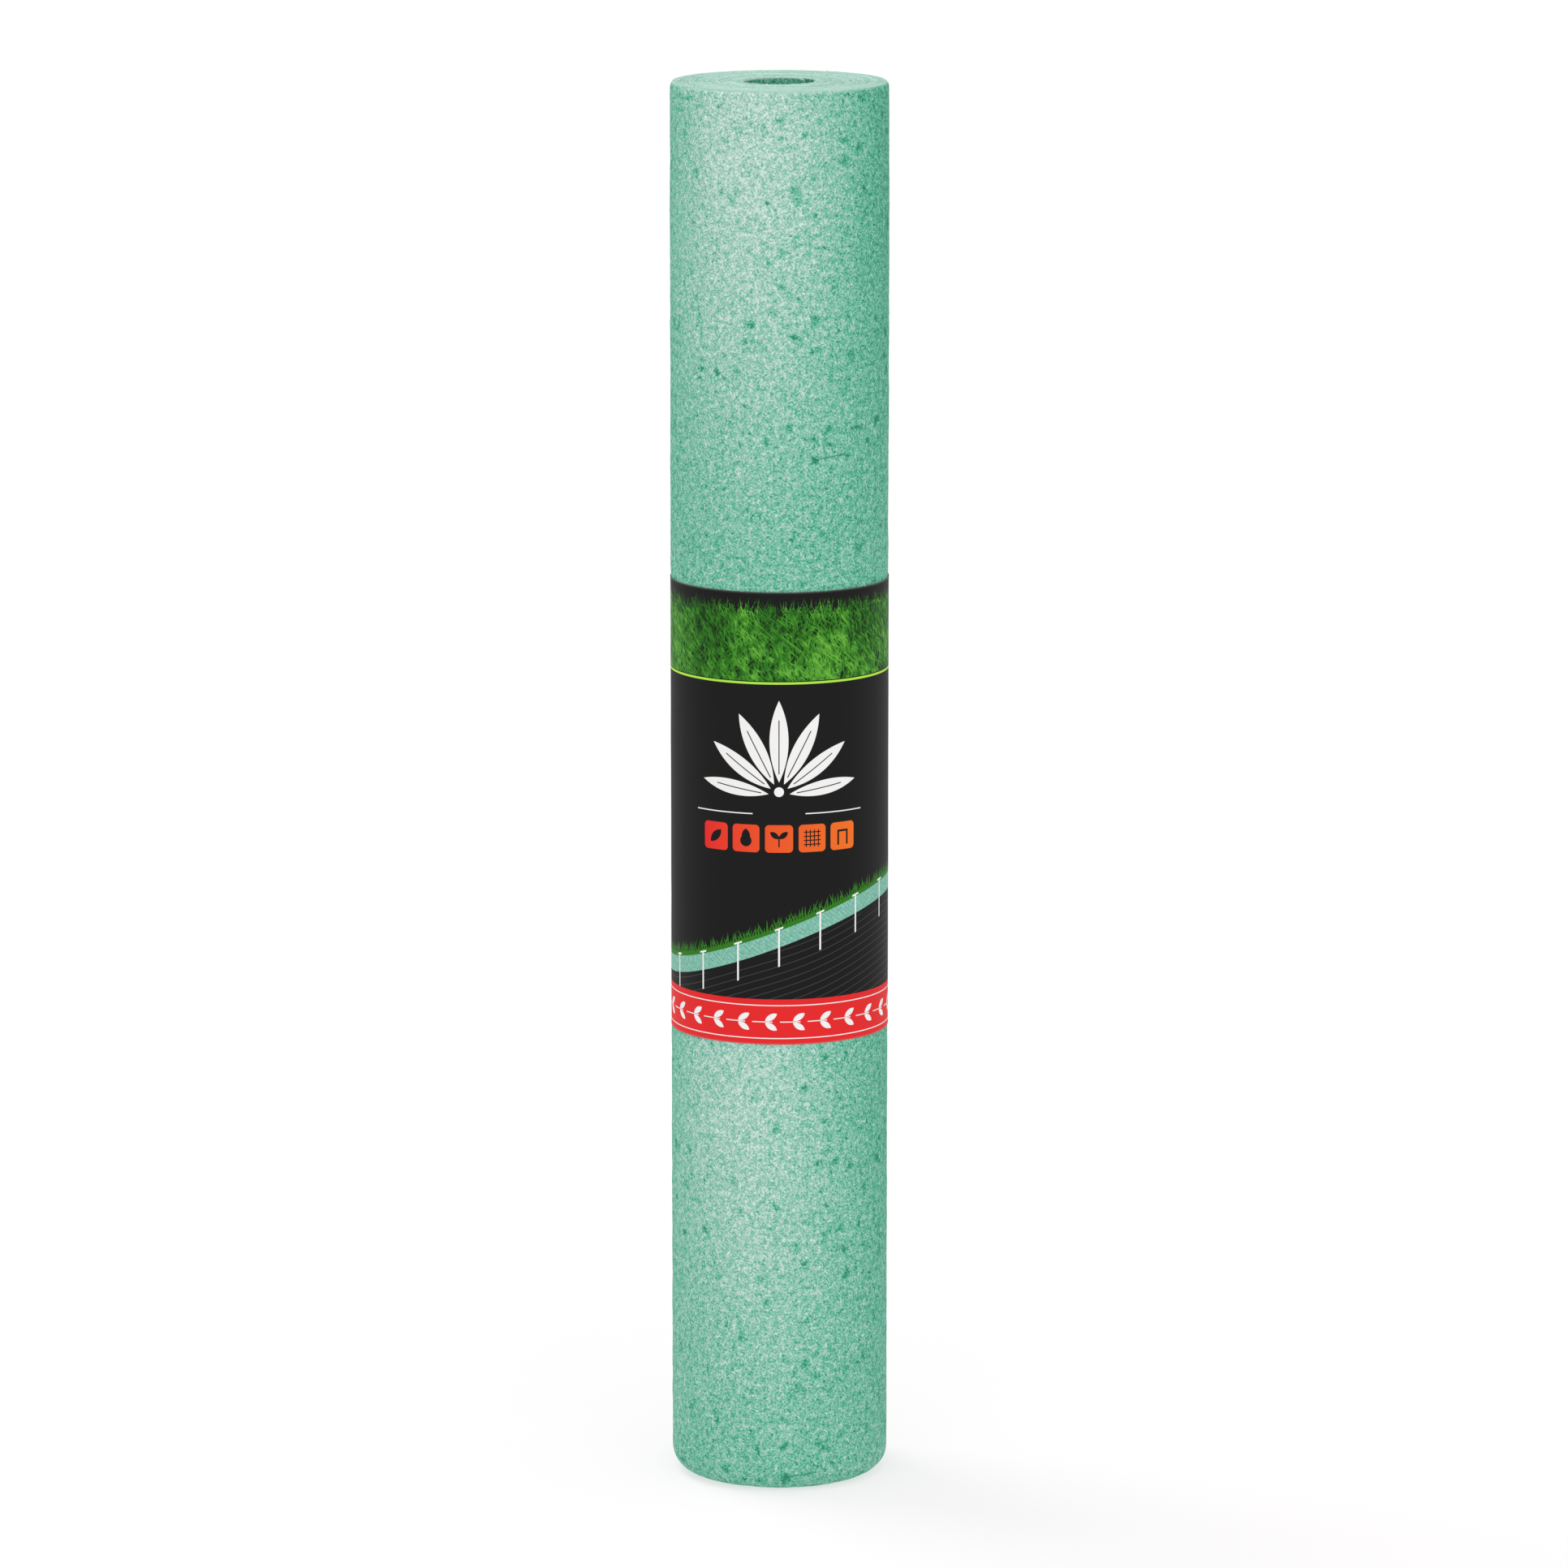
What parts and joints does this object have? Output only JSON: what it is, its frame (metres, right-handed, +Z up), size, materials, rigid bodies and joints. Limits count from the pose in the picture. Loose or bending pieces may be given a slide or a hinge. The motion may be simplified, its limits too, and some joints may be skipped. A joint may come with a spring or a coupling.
{
  "type": "roll of grass seed mat",
  "caption": "Coreless wound roll of green mulch-fibre seed mat, standing on its end, with a printed paper band glued round its middle.",
  "frame": {"origin": "middle of the lower end, on the floor that the roll stands on", "axes": "+Z up along the bore; the printed band faces -Y and its glued lap is at the back, +Y"},
  "size_m": [0.3134, 0.3138, 2.032],
  "materials": {
    "mulch_mat": "matte",
    "printed_paper": "satin"
  },
  "bodies": {
    "root": {"mat_roll": "mulch_mat", "label_band": "printed_paper"}
  },
  "joints": []
}
